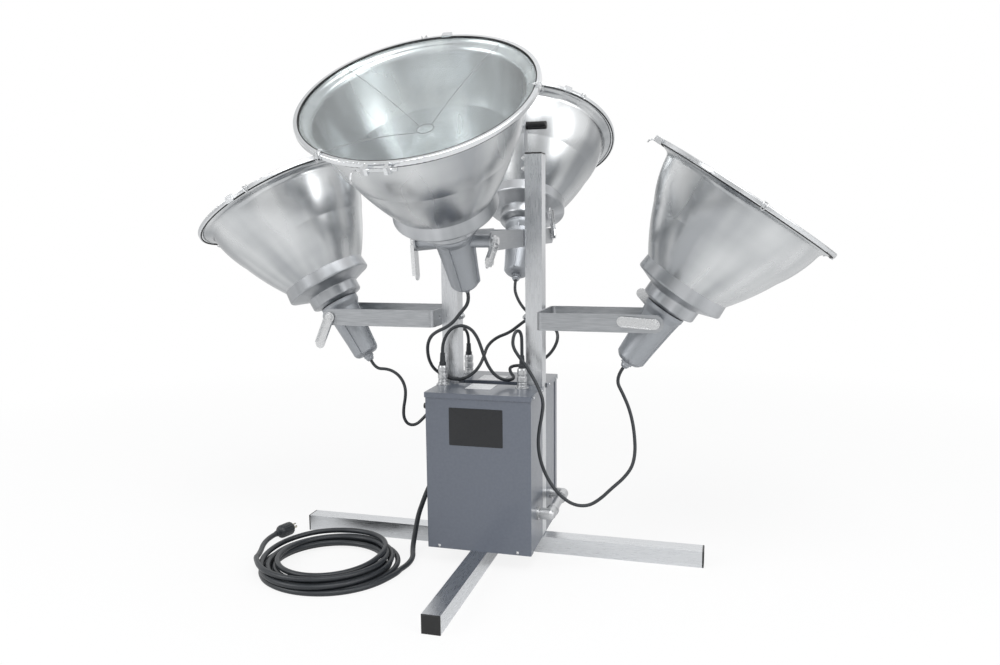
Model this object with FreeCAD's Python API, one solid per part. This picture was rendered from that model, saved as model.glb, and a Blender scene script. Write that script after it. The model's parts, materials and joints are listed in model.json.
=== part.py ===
import FreeCAD, Part
import math
import os
from FreeCAD import Vector

# Portable floodlight stand with four tilting lamps.
# Units are mm. X runs along the long base arm, Y to the back, Z up.
# The origin is on the floor under the middle of the base cross.

# Square aluminium tube of the frame
TUBE = 50.8
HALF = TUBE / 2
WALL = 3.2
CAP_HEAD = 5.0
CAP_PLUG = 12.0

# Base cross and uprights
ARM_REACH = 640.0
LEG_REACH = 600.0
UPRIGHT_X = 131.8
UPRIGHT_TOP = 1213.0
CROSSBAR_Z = 965.0

# Carry handle over the uprights
HANDLE_Z = 1291.0
ROD_R = 6.0
GRIP_R = 12.0
GRIP_IN = 101.5
GRIP_OUT = 167.5
BRACKET_W = 25.0
BRACKET_T = 4.0
BRACKET_FOOT = 1150.0

# Ballast enclosures, front and rear of the uprights
BOX_HALF_X = 158.8
BOX_FACE_Y = 184.6
BOX_BACK_Y = HALF
BOX_BOTTOM = TUBE
BOX_TOP = 522.0
SHEET = 2.0
COVER_RETURN = 26.0
LID_LIP = 15.0
LID_GAP = 0.5
CORE_X, CORE_Y, CORE_Z = 200.0, 105.0, 165.0

# Lead connectors on the lids: x, y of each one and the lean of its boot to the right
CONNECTORS = (
    ("front_left", -145.0, -62.0, 0.0),
    ("rear_left", -128.0, 148.0, 0.0),
    ("front_right", 104.0, -62.0, 0.0),
    ("rear_right", 92.0, 130.0, 0.0),
)
RECEPTACLE_H = 60.0
BOOT_H = 38.0

# Routes of the lamp leads, from each lamp's gland to its boot, as corners of straight runs
LEAD_D = 10.0
LEAD_RIGHT = (
    (396.6, 0, 584.9), (372.2, 0, 549.6), (398.6, -10.7, 504), (416.7, -18.4, 465.6),
    (428.9, -27.8, 425.4), (436, -38.1, 384.1), (439.3, -49.7, 342.7), (432.8, -63.7, 302.7),
    (408.9, -79.6, 270.8), (378.1, -94.8, 244.8), (349, -108.2, 216), (314.4, -122.2, 194.7),
    (274.3, -135.4, 198.7), (239.8, -143.4, 222.8), (211.6, -145.2, 255.2),
    (190.2, -145.2, 292.6), (177.8, -150.3, 333.4), (173.6, -157.3, 375.7),
    (176.1, -156.5, 418.6), (182.4, -145.7, 459.8), (183.8, -128, 499), (165.7, -111.2, 533.7),
    (142.8, -100.1, 568.5), (123, -97, 598), (100, -100, 628), (86, -100, 652), (86, -97, 676),
    (91, -88, 694), (99, -74, 696), (103.5, -64, 682), (104, -62, 656), (104, -62, 620.4),
)
LEAD_LEFT = (
    (-409.3, 0, 577), (-394.3, 0, 550.5), (-355.7, 0, 551.8), (-326, -1.2, 541.7),
    (-302.7, -4.3, 520.9), (-289.3, -9.9, 493.1), (-288, -17.1, 462.6), (-292.3, -23.8, 432),
    (-291.5, -26.5, 401.2), (-279.1, -21.8, 378.9), (-256.4, -14.3, 376.8),
    (-234, -9.9, 396.6), (-213.9, -5.4, 420.6), (-195.2, 5.2, 443.6), (-182.5, 23.4, 465.9),
    (-177.2, 40.2, 492), (-174.4, 52.9, 520.8), (-171.2, 62.6, 550.7), (-166, 70.9, 580.7),
    (-159, 78.8, 610.5), (-150.8, 88, 639.6), (-142.1, 103.4, 665.1), (-133.1, 127.7, 671.8),
    (-128, 148, 645.6), (-128, 148, 620.4),
)
LEAD_FRONT = (
    (0, -258.6, 827.3), (0, -234.7, 795.5), (-31, -234.6, 760.1), (-56, -218, 734),
    (-85.7, -199.2, 715.3), (-117.6, -179.3, 702.1), (-145.9, -157.7, 684.3),
    (-165, -135.7, 657.2), (-174, -113, 626), (-179, -85, 597), (-176, -56, 568),
    (-156, -33.5, 546), (-121, -32.5, 532), (-86, -30, 536), (-61, -16, 552), (-47, 4, 572),
    (-40.6, 28.1, 597.4), (-35.4, 50.5, 629.5), (-8.2, 64.9, 654.2), (28.5, 72.6, 667.3),
    (59, 82, 690.8), (82.7, 99.6, 710.5), (101.1, 122.4, 696.5), (92, 130, 652.3),
    (92, 130, 620.4),
)
LEAD_REAR = (
    (0, 273.6, 817.2), (0, 258.3, 791.7), (10.7, 241.6, 769.3), (25.4, 226.4, 748.3),
    (43.7, 212.1, 729.8), (65.1, 197, 715.7), (88.2, 181.1, 705.8), (111, 163.9, 697.4),
    (133, 145.2, 689.9), (154.8, 126, 683.5), (175, 106.2, 675), (182.6, 88.5, 652.8),
    (174.4, 78.6, 626.3), (157.9, 72.6, 602.4), (134.6, 68.4, 584.5), (107.2, 64.8, 573.5),
    (78.3, 60.7, 567.9), (51.4, 51.4, 568.4), (40.8, 31.2, 564.8), (49.4, 11.6, 552.8),
    (67.5, -8.1, 541.5), (57.3, -34.4, 536.9), (30.2, -43.1, 543), (7.5, -45.1, 561.8),
    (-8, -47.1, 587.1), (-18.5, -49, 614.9), (-27, -50.8, 643.4), (-37.5, -52.7, 671.1),
    (-55.1, -54.7, 694.8), (-82.4, -56.7, 705.6), (-110.8, -58.7, 698.3),
    (-131.4, -60.4, 677.3), (-145, -62, 644.2), (-145, -62, 620.4),
)
LEADS = (("right", LEAD_RIGHT), ("left", LEAD_LEFT), ("front", LEAD_FRONT), ("rear", LEAD_REAR))

# Power cord: gland on the rear enclosure's left side, a run over the base arm, a flat coil
# on the floor and a short tail to the plug
CORD_D = 16.0
GLAND_Y = 100.0
GLAND_Z = 190.0
CORD_RUN = (
    (-182, 100, 190), (-206, 100, 190), (-228, 90, 181), (-242, 70, 160), (-250, 46, 132),
    (-254, 18, 104), (-254, -12, 84), (-250, -42, 62), (-245, -72, 38), (-241, -104, 18),
    (-236, -136, 9), (-233, -170, 8), (-235, -204, 8.5), (-244, -235, 9.5), (-260, -262, 11),
)
CORD_TAIL = (
    (-636, -338, 22), (-661, -316, 22.5), (-684, -291, 22), (-707, -262, 22), (-726, -231, 21),
    (-738, -198, 20),
    (-739, -168, 20), (-731, -143, 20), (-712, -128, 20),
)
COIL_AT = (-434.0, -297.0)
COIL_PROFILE = (
    (138, 10), (141, 3, "arc"), (148, 0), (205, 0), (214, 3, "arc"), (218, 11), (221, 30),
    (217, 38, "arc"), (207, 42), (176, 50), (155, 48), (143, 42, "arc"), (138, 32),
)
PLUG_R = 19.0
PLUG_L = 58.0

# Conduit link between the enclosures
CONDUIT_Z = 152.0
CONDUIT_Y = 98.0
CONDUIT_OUT = 196.0
CONDUIT_R = 13.5

# Lamp yokes of flat bar
BAR_W = TUBE
BAR_T = 5.0
YOKE_IN = 100.0
YOKE_REACH = 337.0
YOKE_BEND = 12.0
PIVOT_HOLE_R = 6.5
SPARE_HOLE_Y = 47.0

# Lamp: profiles are radius and height along its own axis, from the pivot
LEVER_L = 105.0
LEVER_W = 30.0
LEVER_T = 2.5
LEVER_FLANGE = 10.0
LEVER_BOLT_R = 6.0
LEVER_WASHER_R = 14.0
COLLAR_R = 133.0
COLLAR_Z = 141.0
SEAT_Z = 414.0
SHEET_OUT = 2.0
LENS_T = 6.0
RING_R = 285.0
RING_WALL = 6.0
RING_LIP = 10.5
RING_SOLE = 2.0
RING_CROWN = 2.6
LENS_R = RING_R - RING_WALL - 1.0
CLIP_W = 24.0
CLIP_T = 4.0
EAR_OUT = 18.0
EAR_T = 8.0
EAR_GAP = 36.0
EAR_H = 16.0
EAR_BOLT_R = 3.5

# name, turn about Z, web from the centre line, pivot height, tilt at rest,
# place of the ring's closure, angle of the two clamp levers (-Y side, +Y side)
LAMPS = (
    ("right", 0.0, UPRIGHT_X + HALF, 727.0, 34.5, 188.0, 176.0, 131.0),
    ("left", 180.0, UPRIGHT_X + HALF, 727.0, 29.5, 268.0, -100.0, -67.0),
    ("front", -90.0, HALF, CROSSBAR_Z, 37.0, 0.0, -98.0, -35.0),
    ("rear", 90.0, HALF, CROSSBAR_Z, 31.0, 34.0, 118.0, -80.0),
)

os.makedirs("parts", exist_ok=True)
facets = 0


def save(name, shape):
    """Write one node and count its facets."""
    global facets
    if not shape.isValid():
        raise ValueError(name + " is not a valid shape")
    shape.exportStep("parts/" + name + ".step")
    count = len(shape.tessellate(0.5)[1])
    facets += count
    print("%-22s solids %d  facets %5d  volume %.0f" % (name, len(shape.Solids), count, shape.Volume))


def block(x0, x1, y0, y1, z0, z1):
    """A box between two corners."""
    return Part.makeBox(x1 - x0, y1 - y0, z1 - z0, Vector(x0, y0, z0))


def rod(r, p0, p1):
    """A round bar between two points."""
    a = Vector(*p0)
    b = Vector(*p1)
    return Part.makeCylinder(r, (b - a).Length, a, b - a)


def compound(shapes):
    """Pieces of one node that don't touch."""
    return Part.makeCompound(list(shapes))


def fuse(first, *others):
    """One solid out of several that overlap or meet."""
    return first.fuse(list(others)).removeSplitter()


def profile(points):
    """A face in the XZ plane: points are (r, z), and (r, z, "arc") is the middle of an arc."""
    edges = []
    n = len(points)
    i = 0
    while i < n:
        start = points[i]
        following = points[(i + 1) % n]
        if len(following) == 3:
            end = points[(i + 2) % n]
            arc = Part.Arc(
                Vector(start[0], 0, start[1]),
                Vector(following[0], 0, following[1]),
                Vector(end[0], 0, end[1]),
            )
            edges.append(arc.toShape())
            i += 2
        else:
            edges.append(
                Part.LineSegment(
                    Vector(start[0], 0, start[1]), Vector(following[0], 0, following[1])
                ).toShape()
            )
            i += 1
    return Part.Face(Part.Wire(edges))


def turned(points):
    """A solid of revolution about Z."""
    return profile(points).revolve(Vector(0, 0, 0), Vector(0, 0, 1), 360)


def hexagon(flats, z0, z1):
    """A nut about Z."""
    r = flats / 2 / math.cos(math.pi / 6)
    ring = [
        Vector(r * math.cos(math.radians(a)), r * math.sin(math.radians(a)), z0)
        for a in range(0, 361, 60)
    ]
    return Part.Face(Part.makePolygon(ring)).extrude(Vector(0, 0, z1 - z0))


def placed(shape, turn=None, angle=0.0, at=(0, 0, 0)):
    """A copy, turned about an axis through the origin and then moved."""
    moved = shape.copy()
    if turn is not None:
        moved.rotate(Vector(0, 0, 0), Vector(*turn), angle)
    moved.translate(Vector(*at))
    return moved


def square_tube(axis, start, end, c1, c2):
    """Square tube along X, Y or Z; c1 and c2 are the centres on the other two axes, in order."""
    inner = HALF - WALL
    spans = []
    for half in (HALF, inner):
        across = [(c1 - half, c1 + half), (c2 - half, c2 + half)]
        across.insert("XYZ".index(axis), (start, end))
        spans.append(block(*across[0], *across[1], *across[2]))
    return spans[0].cut(spans[1])


def end_cap(axis, sign, tip, c1, c2):
    """Plastic cap: a flat head on the tube's end and a plug inside it."""
    inner = HALF - WALL - 0.2
    face = tip - sign * CAP_HEAD
    deep = face - sign * CAP_PLUG
    pieces = []
    for half, a, b in ((HALF, face, tip), (inner, deep, face)):
        across = [(c1 - half, c1 + half), (c2 - half, c2 + half)]
        across.insert("XYZ".index(axis), (min(a, b), max(a, b)))
        pieces.append(block(*across[0], *across[1], *across[2]))
    cap = pieces[0].fuse(pieces[1])
    rim = [
        e
        for e in cap.Edges
        if abs(e.CenterOfMass["XYZ".index(axis)] - tip) < 0.01
    ]
    return cap.makeFillet(2.0, rim)


def build_frame():
    """Base cross, uprights, crossbar, caps and carry handle."""
    save("base_crossbar", square_tube("X", -ARM_REACH + CAP_HEAD, ARM_REACH - CAP_HEAD, 0, HALF))
    save("base_leg_front", square_tube("Y", -LEG_REACH + CAP_HEAD, -HALF, 0, HALF))
    save("base_leg_rear", square_tube("Y", HALF, LEG_REACH - CAP_HEAD, 0, HALF))
    for side, name in ((-1, "upright_left"), (1, "upright_right")):
        save(name, square_tube("Z", TUBE, UPRIGHT_TOP - CAP_HEAD, side * UPRIGHT_X, 0))
    inner = UPRIGHT_X - HALF
    save("frame_crossbar", square_tube("X", -inner, inner, 0, CROSSBAR_Z))
    caps = [
        end_cap("X", -1, -ARM_REACH, 0, HALF),
        end_cap("X", 1, ARM_REACH, 0, HALF),
        end_cap("Y", -1, -LEG_REACH, 0, HALF),
        end_cap("Y", 1, LEG_REACH, 0, HALF),
        end_cap("Z", 1, UPRIGHT_TOP, -UPRIGHT_X, 0),
        end_cap("Z", 1, UPRIGHT_TOP, UPRIGHT_X, 0),
    ]
    save("tube_end_caps", compound(caps))

    # Two flat brackets on the inner faces carry a round rod
    bars = []
    for side in (-1, 1):
        x0 = side * inner
        x1 = x0 - side * BRACKET_T
        bar = block(min(x0, x1), max(x0, x1), -BRACKET_W / 2, BRACKET_W / 2, BRACKET_FOOT, HANDLE_Z)
        top = rod(BRACKET_W / 2, (x0, 0, HANDLE_Z), (x1, 0, HANDLE_Z))
        bars += [bar, top]
    long_rod = rod(ROD_R, (-GRIP_OUT + 3, 0, HANDLE_Z), (GRIP_OUT - 3, 0, HANDLE_Z))
    save("handle_frame", fuse(long_rod, *bars))
    grips = []
    for side in (-1, 1):
        r0 = inner if inner > GRIP_IN else GRIP_IN
        grip = turned(
            (
                (ROD_R + 0.1, r0),
                (GRIP_R - 2, r0),
                (GRIP_R - 0.6, r0 + 0.6, "arc"),
                (GRIP_R, r0 + 2),
                (GRIP_R, GRIP_OUT - 4),
                (GRIP_R - 1.2, GRIP_OUT - 1.2, "arc"),
                (GRIP_R - 4, GRIP_OUT),
                (0, GRIP_OUT),
                (0, GRIP_OUT - 3),
                (ROD_R + 0.1, GRIP_OUT - 3),
            )
        )
        grips.append(placed(grip, (0, 1, 0), 90 * side, (0, 0, HANDLE_Z)))
    save("handle_grips", compound(grips))


def build_enclosures():
    """Two sheet steel boxes, made once for the front and mirrored to the rear."""
    hx = BOX_HALF_X - SHEET
    front = -BOX_FACE_Y + SHEET
    back = -BOX_BACK_Y
    z0, z1 = BOX_BOTTOM, BOX_TOP - SHEET
    shell = block(-hx, hx, front, back, z0, z1)
    space = block(-hx + SHEET, hx - SHEET, front - 1, back - SHEET, z0 + SHEET, z1 + 1)
    housing = shell.cut(space)

    cover = block(-BOX_HALF_X, BOX_HALF_X, -BOX_FACE_Y, front + COVER_RETURN, z0, z1)
    cover = cover.makeFillet(
        3.0,
        [
            e
            for e in cover.Edges
            if abs(e.CenterOfMass.y + BOX_FACE_Y) < 0.01 and abs(abs(e.CenterOfMass.x) - BOX_HALF_X) < 0.01
        ],
    )
    cover = cover.cut(block(-hx, hx, front, front + COVER_RETURN + 1, z0 - 1, z1 + 1))

    lx = BOX_HALF_X + LID_GAP
    ly = -BOX_FACE_Y - LID_GAP
    lid = block(-lx - SHEET, lx + SHEET, ly - SHEET, back, BOX_TOP - LID_LIP, BOX_TOP)
    lid = lid.makeFillet(
        2.5,
        [
            e
            for e in lid.Edges
            if e.CenterOfMass.y < ly and (
                abs(e.CenterOfMass.z - BOX_TOP) < 0.01 or abs(abs(e.CenterOfMass.x) - lx - SHEET) < 0.01
            )
        ],
    )
    lid = lid.cut(block(-lx, lx, ly, back + 1, BOX_TOP - LID_LIP - 1, BOX_TOP - SHEET))

    mid_y = -(BOX_FACE_Y + BOX_BACK_Y) / 2
    core = block(
        -CORE_X / 2, CORE_X / 2, mid_y - CORE_Y / 2, mid_y + CORE_Y / 2, z0 + SHEET, z0 + SHEET + CORE_Z
    )
    for name, shape in (
        ("ballast_housings", housing),
        ("ballast_covers", cover),
        ("ballast_lids", lid),
        ("ballast_cores", core),
    ):
        save(name, compound([shape, placed(shape, (0, 0, 1), 180)]))


def build_connectors():
    """Metal receptacles with ringed bodies, and the tapered boots of the leads."""
    metal = []
    boots = []
    z = RECEPTACLE_H
    for _, x, y, lean in CONNECTORS:
        body = turned(
            (
                (0, 0),
                (16.5, 0),
                (16.5, 6),
                (14.5, 8),
                (14.5, 15),
                (12.5, 17),
                (15, 20),
                (15, 33),
                (13, 35),
                (13, 40),
                (14.5, 42),
                (14.5, 55),
                (12.5, z),
                (0, z),
            )
        )
        boot = turned(
            (
                (0, 0),
                (10.5, 0),
                (10.5, 9),
                (8.5, 11),
                (7, BOOT_H - 1),
                (6, BOOT_H),
                (0, BOOT_H),
            )
        )
        metal.append(placed(body, None, 0, (x, y, BOX_TOP)))
        boots.append(placed(boot, (0, 1, 0), lean, (x, y, BOX_TOP + z)))
    save("lead_receptacles", compound(metal))
    save("lead_boots", compound(boots))


def build_conduit():
    """Pipe with two cast elbows from one enclosure's side to the other's."""
    x0 = BOX_HALF_X - SHEET
    r = CONDUIT_R
    run = rod(r, (CONDUIT_OUT, -CONDUIT_Y, CONDUIT_Z), (CONDUIT_OUT, CONDUIT_Y, CONDUIT_Z))
    pieces = []
    for s in (-1, 1):
        y = s * CONDUIT_Y
        pieces.append(rod(r, (x0, y, CONDUIT_Z), (CONDUIT_OUT, y, CONDUIT_Z)))
        pieces.append(rod(r + 6, (x0, y, CONDUIT_Z), (x0 + 6, y, CONDUIT_Z)))
        pieces.append(Part.makeSphere(r + 3.5, Vector(CONDUIT_OUT, y, CONDUIT_Z)))
        pieces.append(rod(r + 3.5, (x0 + 12, y, CONDUIT_Z), (CONDUIT_OUT, y, CONDUIT_Z)))
        pieces.append(
            rod(r + 3.5, (CONDUIT_OUT, y, CONDUIT_Z), (CONDUIT_OUT, y - s * 30, CONDUIT_Z))
        )
        pieces.append(
            rod(r + 5, (CONDUIT_OUT, y - s * 30, CONDUIT_Z), (CONDUIT_OUT, y - s * 44, CONDUIT_Z))
        )
    save("conduit_link", fuse(run, *pieces))


def make_yoke():
    """Flat bar bent to a U: web on the YZ plane, arms along +X, ends rounded at the pivot."""
    out = YOKE_IN + BAR_T
    tip = YOKE_REACH + BAR_W / 2
    b = YOKE_BEND
    outer = block(0, tip, -out, out, -BAR_W / 2, BAR_W / 2)
    corners = [e for e in outer.Edges if e.CenterOfMass.x < 0.01 and abs(abs(e.CenterOfMass.y) - out) < 0.01]
    outer = outer.makeFillet(b + BAR_T, corners)
    space = block(BAR_T, tip + 10, -YOKE_IN, YOKE_IN, -BAR_W, BAR_W)
    corners = [
        e
        for e in space.Edges
        if abs(e.CenterOfMass.x - BAR_T) < 0.01 and abs(abs(e.CenterOfMass.y) - YOKE_IN) < 0.01
    ]
    space = space.makeFillet(b, corners)
    bar = outer.cut(space)
    waste = block(YOKE_REACH, tip + 1, -out - 1, out + 1, -BAR_W, BAR_W)
    waste = waste.cut(rod(BAR_W / 2, (YOKE_REACH, -out - 2, 0), (YOKE_REACH, out + 2, 0)))
    bar = bar.cut(waste)
    bar = bar.cut(rod(PIVOT_HOLE_R, (YOKE_REACH, -out - 2, 0), (YOKE_REACH, out + 2, 0)))
    for y in (-SPARE_HOLE_Y, SPARE_HOLE_Y):
        bar = bar.cut(rod(5.5, (-1, y, 0), (BAR_T + 1, y, 0)))
    return bar


# Share of the way from the collar to the lens's edge, and height
REFLECTOR = (
    (0.0, 141),
    (0.278, 205.5, "arc"),
    (0.503, 272),
    (0.7, 335, "arc"),
    (0.793, 390),
    (0.821, 400, "arc"),
    (0.883, 405.5),
    (0.938, 409, "arc"),
    (0.966, 414),
)
NECK = (
    (75, COLLAR_Z),
    (COLLAR_R, COLLAR_Z),
    (COLLAR_R + 3, 108),
    (COLLAR_R + 1, 103, "arc"),
    (COLLAR_R - 4, 101),
    (84, 83.5),
    (82.5, 81),
    (82.5, 55),
    (80, 50, "arc"),
    (74, 48),
    (56, 40),
    (40, 40),
    (40, 43),
    (55, 43),
    (73, 51),
    (79.5, 56),
    (79.5, 84),
    (82, 86.3),
    (COLLAR_R - 5, 104),
    (COLLAR_R - 0.2, 109),
    (COLLAR_R - 2.8, 138),
    (75, 138),
)
HOUSING = (
    (0, -58),
    (0, -151),
    (22, -151),
    (33, -148, "arc"),
    (40, -138),
    (43, -90),
    (49, -12),
    (52, 10),
    (60, 26),
    (61, 30),
    (61, 40),
    (40, 40),
    (40, -22),
    (20.5, -24),
    (20.5, -58),
)
BULB = (
    (19.5, -58),
    (19.5, -8),
    (27, 10),
    (30, 50),
    (64, 130, "arc"),
    (88, 205),
    (70, 262, "arc"),
    (40, 292),
    (37, 312, "arc"),
    (16, 325),
    (4, 326),
    (4, 324.4),
    (15.5, 323.5),
    (35.4, 311.5, "arc"),
    (38.6, 291.4),
    (68.8, 261, "arc"),
    (86.4, 205),
    (62.5, 130.6, "arc"),
    (28.5, 50.4),
    (25.5, 10.4),
    (18, -8),
    (5, -12),
    (5, -58),
)


def make_reflector():
    """Spun reflector: a flared bell with a flat flange under the lens and an open foot."""
    reach = LENS_R - COLLAR_R
    outer = [(COLLAR_R + share * reach, z, *tag) for share, z, *tag in REFLECTOR]
    inner = [(r - 1.6, z + 1.2, *tag) for r, z, *tag in reversed(outer)]
    inner[0] = (inner[0][0], SEAT_Z + SHEET_OUT)
    inner[-1] = (COLLAR_R - 2, COLLAR_Z + SHEET_OUT)
    flange = [(LENS_R, SEAT_Z), (LENS_R, SEAT_Z + SHEET_OUT)]
    foot = [(75, COLLAR_Z + SHEET_OUT), (75, COLLAR_Z)]
    return turned(outer + flange + inner + foot)


def make_ring(closure):
    """Lens ring of C section with its bolted closure and the hinge clip across from it."""
    low = SEAT_Z - RING_SOLE
    seat = SEAT_Z + SHEET_OUT + LENS_T
    high = seat + RING_CROWN
    wall = RING_R - RING_WALL
    lip = RING_R - RING_LIP
    section = (
        (lip, low),
        (RING_R - 3, low),
        (RING_R - 0.7, low + 0.8, "arc"),
        (RING_R, low + 3),
        (RING_R, high - 3),
        (RING_R - 0.7, high - 0.8, "arc"),
        (RING_R - 3, high),
        (lip, high),
        (lip, seat),
        (wall, seat),
        (wall, SEAT_Z),
        (lip, SEAT_Z),
    )
    across = CLIP_W / 2
    edge = RING_R + CLIP_T
    clip = block(RING_R - 2, edge, -across, across, low - CLIP_T, high + CLIP_T)
    clip = clip.fuse(block(lip - 3, edge, -across, across, high - 0.3, high + CLIP_T))
    parts = [placed(clip, (0, 0, 1), closure + 180)]

    inside = EAR_GAP / 2
    out = inside + EAR_T
    bolt_r = RING_R + EAR_OUT - 7
    bolt_z = low + EAR_H / 2 - CLIP_T
    for y in (-out, inside):
        ear = block(RING_R - 4, RING_R + EAR_OUT, y, y + EAR_T, bolt_z - EAR_H / 2, bolt_z + EAR_H / 2)
        parts.append(placed(ear, (0, 0, 1), closure))
    bolt = rod(EAR_BOLT_R, (bolt_r, -out - 16, bolt_z), (bolt_r, out + 20, bolt_z))
    parts.append(placed(bolt, (0, 0, 1), closure))
    for side in (-1, 1):
        nut = placed(hexagon(4 * EAR_BOLT_R, 0, 7), (1, 0, 0), -90 * side, (bolt_r, side * out, bolt_z))
        parts.append(placed(nut, (0, 0, 1), closure))
    return turned(section).fuse(parts).removeSplitter()


def make_housing():
    """Cast socket housing with four ribs, trunnion bosses and the cable gland."""
    body = turned(HOUSING)
    extra = [rod(17, (0, -YOKE_IN + 0.3, 0), (0, YOKE_IN - 0.3, 0))]
    for angle in (0, 90, 180, 270):
        rib = Part.makePolygon(
            [
                Vector(30, -2.5, 20),
                Vector(58, -2.5, 20),
                Vector(54, -2.5, -12),
                Vector(47, -2.5, -90),
                Vector(44, -2.5, -136),
                Vector(36, -2.5, -146),
                Vector(30, -2.5, -146),
                Vector(30, -2.5, 20),
            ]
        )
        extra.append(placed(Part.Face(rib).extrude(Vector(0, 5, 0)), (0, 0, 1), angle))
    body = body.fuse(extra)
    body = body.cut(turned(((0, -58), (20.5, -58), (20.5, -24), (40, -22), (40, 41), (0, 41))))
    gland = hexagon(30, -160, -151).fuse(
        turned(((0, -160), (13, -160), (13, -165), (9, -172), (0, -172)))
    )
    return body.fuse(gland).removeSplitter()


def make_lever(side, angle):
    """Folded channel lever on its clamp bolt, outside one yoke arm."""
    y0 = YOKE_IN + BAR_T
    half = LEVER_W / 2
    plate = block(0, LEVER_L - half, -half, half, 0, LEVER_T)
    plate = plate.fuse(Part.makeCylinder(half, LEVER_T))
    plate = plate.fuse(Part.makeCylinder(half, LEVER_T, Vector(LEVER_L - half, 0, 0)))
    for s in (-1, 1):
        inner = s * (half - LEVER_T)
        edge = block(8, LEVER_L - half, min(inner, s * half), max(inner, s * half), 0, LEVER_FLANGE)
        plate = plate.fuse(edge)
    plate.translate(Vector(0, 0, 3))
    bolt = Part.makeCylinder(LEVER_BOLT_R, BAR_T + 14 + 0.3, Vector(0, 0, -BAR_T - 0.3))
    washer = Part.makeCylinder(LEVER_WASHER_R, 2.7, Vector(0, 0, 0.3))
    nut = hexagon(19, 3 + LEVER_T, 14)
    lever = plate.fuse([bolt, washer, nut]).removeSplitter()
    lever.rotate(Vector(0, 0, 0), Vector(0, 0, 1), angle if side < 0 else -angle)
    lever.rotate(Vector(0, 0, 0), Vector(1, 0, 0), 90 if side < 0 else -90)
    lever.translate(Vector(0, side * y0, 0))
    return lever


def build_lamps():
    """Yoke and lamp four times, turned to the four sides."""
    yoke = make_yoke()
    reflector = make_reflector()
    neck = turned(NECK)
    housing = make_housing()
    bulb = turned(BULB)
    lens = Part.makeCylinder(LENS_R, LENS_T, Vector(0, 0, SEAT_Z + SHEET_OUT))
    for name, turn, web, height, tilt, closure, lever_a, lever_b in LAMPS:

        def home(shape):
            """From the yoke's own frame to the stand's."""
            return placed(placed(shape, None, 0, (web, 0, height)), (0, 0, 1), turn)

        def lamp(shape):
            """From the lamp's own frame to the stand's."""
            return home(placed(shape, (0, 1, 0), tilt, (YOKE_REACH, 0, 0)))

        save("yoke_" + name, home(yoke))
        save("reflector_" + name, lamp(reflector))
        save("lamp_neck_" + name, lamp(neck))
        save("socket_housing_" + name, lamp(housing))
        save("bulb_" + name, lamp(bulb))
        save("lens_" + name, lamp(lens))
        save("lens_ring_" + name, lamp(make_ring(closure)))
        levers = [
            placed(make_lever(-1, lever_a), None, 0, (YOKE_REACH, 0, 0)),
            placed(make_lever(1, lever_b), None, 0, (YOKE_REACH, 0, 0)),
        ]
        save("tilt_levers_" + name, home(compound(levers)))


def swept(name, points, diameter):
    """A cord along straight runs with a tangent arc at every corner; prints its smallest radius."""
    corners = [Vector(*p) for p in points]
    edges = []
    at = corners[0]
    least = 1e9
    for before, corner, after in zip(corners, corners[1:], corners[2:]):
        u = (corner - before).normalize()
        v = (after - corner).normalize()
        turn = u.getAngle(v)
        cut = 0.45 * min((corner - before).Length, (after - corner).Length)
        radius = cut / math.tan(turn / 2)
        least = min(least, radius)
        p0 = corner - u * cut
        p1 = corner + v * cut
        inward = (v - u).normalize()
        middle = corner + inward * (radius / math.cos(turn / 2) - radius)
        edges.append(Part.LineSegment(at, p0).toShape())
        edges.append(Part.Arc(p0, middle, p1).toShape())
        at = p1
    edges.append(Part.LineSegment(at, corners[-1]).toShape())
    path = Part.Wire(edges)
    ring = Part.makeCircle(diameter / 2, corners[0], corners[1] - corners[0])
    tube = path.makePipeShell([Part.Wire([ring])], True, False)
    if tube.Volume < 0:
        tube.reverse()
    solid = Part.Solid(tube) if tube.ShapeType == "Shell" else tube
    section = math.pi * diameter * diameter / 4
    print("%-12s length %.0f  radius %.0f or more  volume over section by length %.3f" % (
        name, path.Length, least, solid.Volume / (section * path.Length)))
    return solid


def build_cords():
    """Lamp leads, the power cord with its coil on the floor, the gland and the plug."""
    for name, points in LEADS:
        save("lead_" + name, swept(name, points, LEAD_D))

    wall = -BOX_HALF_X + SHEET
    gland = placed(hexagon(34, 0, 9), (0, 1, 0), -90, (wall, GLAND_Y, GLAND_Z))
    nose = turned(((0, 9), (15, 9), (15, 16), (10, 24.9), (0, 24.9)))
    gland = gland.fuse(placed(nose, (0, 1, 0), -90, (wall, GLAND_Y, GLAND_Z))).removeSplitter()
    save("cord_gland", gland)

    coil = placed(turned(COIL_PROFILE), None, 0, (COIL_AT[0], COIL_AT[1], 0))
    save("power_cord_coil", coil)
    run = swept("cord", CORD_RUN, CORD_D).cut(coil)
    tail = swept("tail", CORD_TAIL, CORD_D).cut(coil)
    pieces = [max(part.Solids, key=lambda s: s.Volume) for part in (run, tail)]
    save("power_cord", compound(pieces))

    tip = Vector(*CORD_TAIL[-1])
    away = tip - Vector(*CORD_TAIL[-2])
    body = turned(
        (
            (0, 0),
            (9.5, 0),
            (11, 12),
            (16, 15),
            (PLUG_R - 1, 18),
            (PLUG_R, 20),
            (PLUG_R, PLUG_L - 2),
            (PLUG_R - 2, PLUG_L),
            (0, PLUG_L),
        )
    )
    blades = [
        block(x - 1, x + 1, -4, 4, PLUG_L - 1, PLUG_L + 19)
        for x in (-6.5, 6.5)
    ]
    blades.append(rod(2.4, (0, 8.5, PLUG_L - 1), (0, 8.5, PLUG_L + 21)))
    plug = body.fuse(blades).removeSplitter()
    heading = math.degrees(math.atan2(away.y, away.x))
    plug = placed(placed(plug, (0, 1, 0), 90), (0, 0, 1), heading, tuple(tip))
    save("power_plug", plug)


build_frame()
build_enclosures()
build_connectors()
build_conduit()
build_lamps()
build_cords()
print("facets in all", facets)
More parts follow.
